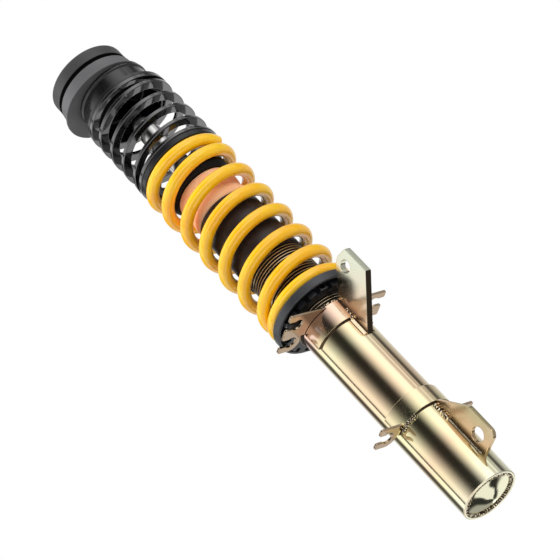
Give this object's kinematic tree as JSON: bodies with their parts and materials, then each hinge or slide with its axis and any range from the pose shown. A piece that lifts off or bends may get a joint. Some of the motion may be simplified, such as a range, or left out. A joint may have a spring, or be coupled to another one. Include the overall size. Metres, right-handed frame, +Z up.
{
  "type": "coilover",
  "caption": "Front suspension strut with adjustable lower spring seat, main and helper springs, offset strut bearing and a plain clamp-in foot.",
  "frame": {"origin": "centre of the strut tube's foot, in the plane of its lower rim", "axes": "+Z up along the strut to the strut bearing; +X towards the link plate and the locating tab; the bracket ears point along +Y and -Y"},
  "size_m": [0.1257, 0.1123, 0.5936],
  "materials": {
    "gold_zinc": "bright yellow zinc plate over welded steel",
    "bright_steel": "plain machined steel",
    "aluminium": "machined",
    "hard_chrome": "ground and hard chromed",
    "yellow_powder": "gloss yellow powder coat",
    "black_powder": "gloss black powder coat",
    "anthracite": "satin blue-black anodised finish",
    "black_plastic": "moulded, satin",
    "dark_plastic": "moulded, matt dark grey",
    "grey_plastic": "moulded, matt mid grey",
    "black_rubber": "matt",
    "peach_foam": "cellular polyurethane, closed skin"
  },
  "bodies": {
    "housing": {"strut_tube": "gold_zinc", "foot_cap": "gold_zinc", "foot_weld": "gold_zinc", "upper_bracket": "gold_zinc", "link_plate": "gold_zinc", "lower_bracket": "gold_zinc", "locating_tab": "gold_zinc", "plate_welds": "gold_zinc", "bracket_weld": "gold_zinc", "threaded_tube": "gold_zinc", "pressure_tube": "bright_steel", "base_valve": "bright_steel", "rod_guide": "aluminium", "rod_seal": "black_rubber", "gland_nut": "bright_steel", "dust_cap": "black_plastic"},
    "lower_seat": {"lower_spring_seat": "anthracite", "seat_ribs": "anthracite", "main_spring": "yellow_powder"},
    "adjuster": {"adjuster_nut": "anthracite", "locking_screw": "bright_steel"},
    "rod": {"piston_rod": "hard_chrome", "piston": "aluminium", "piston_nut": "bright_steel", "upper_spring_seat": "black_plastic", "bearing_flange": "grey_plastic", "bearing_lower_shell": "grey_plastic", "bearing_seal": "black_rubber", "bearing_balls": "hard_chrome", "ball_cage": "black_plastic", "top_washer": "gold_zinc", "top_nut": "gold_zinc", "helper_spring": "black_powder"},
    "spring_ring": {"adapter_ring": "anthracite"},
    "bearing_top": {"bearing_upper_shell": "dark_plastic"},
    "bump": {"bump_stop": "peach_foam", "stop_cup": "black_plastic"}
  },
  "joints": [
    {"name": "nut_turn", "type": "hinge", "parent": "lower_seat", "child": "adjuster", "pos_m": [0, 0, 0.235], "axis": [0, 0, 1], "range_deg": [0, 3600]},
    {"name": "ride_height", "type": "slide", "parent": "housing", "child": "lower_seat", "axis": [0, 0, 1], "range_m": [0, 0.03]},
    {"name": "damper_stroke", "type": "slide", "parent": "lower_seat", "child": "rod", "axis": [0, 0, 1], "range_m": [-0.07, 0], "stiffness_N_per_m": 3000, "springref_m": 0.03, "deforming": ["main_spring"]},
    {"name": "helper_travel", "type": "slide", "parent": "rod", "child": "spring_ring", "axis": [0, 0, 1], "range_m": [0, 0.0592], "deforming": ["helper_spring"]},
    {"name": "steering_swivel", "type": "hinge", "parent": "rod", "child": "bearing_top", "pos_m": [-0.00594, -0.00535, 0.58], "axis": [0, 0, 1], "continuous": true},
    {"name": "bump_stop_slide", "type": "slide", "parent": "housing", "child": "bump", "axis": [0, 0, 1], "range_m": [0, 0.006]}
  ],
  "couplings": [
    {"joint": "nut_turn", "follows": "ride_height", "rad_per_m": 2094.4},
    {"joint": "helper_travel", "follows": "damper_stroke", "ratio": -0.84}
  ]
}
